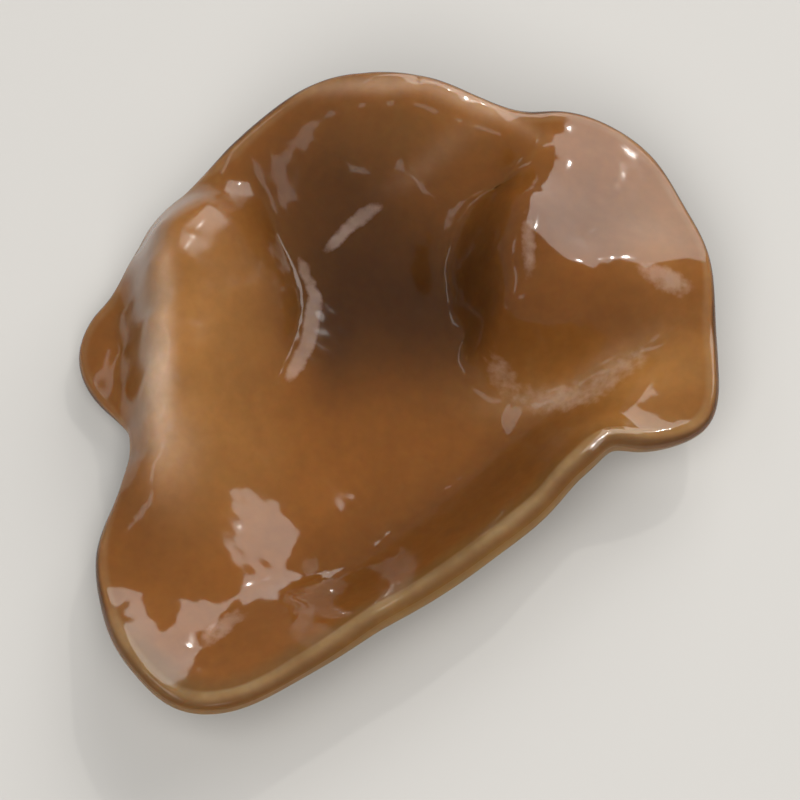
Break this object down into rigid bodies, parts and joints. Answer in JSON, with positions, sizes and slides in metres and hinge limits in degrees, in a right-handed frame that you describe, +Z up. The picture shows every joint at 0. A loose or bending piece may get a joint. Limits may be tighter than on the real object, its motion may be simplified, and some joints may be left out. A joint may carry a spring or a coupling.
{
  "type": "wood ear mushroom",
  "caption": "Soaked wood ear mushroom: a thin, glossy, jelly-like brown cup with folded lobes, an upturned lip and a short cut stalk underneath.",
  "frame": {"origin": "on the table, under the middle of the ear's box", "axes": "+Z up out of the cup, +Y towards the back wall, +X towards the broad lobe"},
  "size_m": [0.0766, 0.0788, 0.0194],
  "materials": {
    "flesh": "wet gloss"
  },
  "bodies": {
    "root": {"fruit_body": "flesh"}
  },
  "joints": []
}
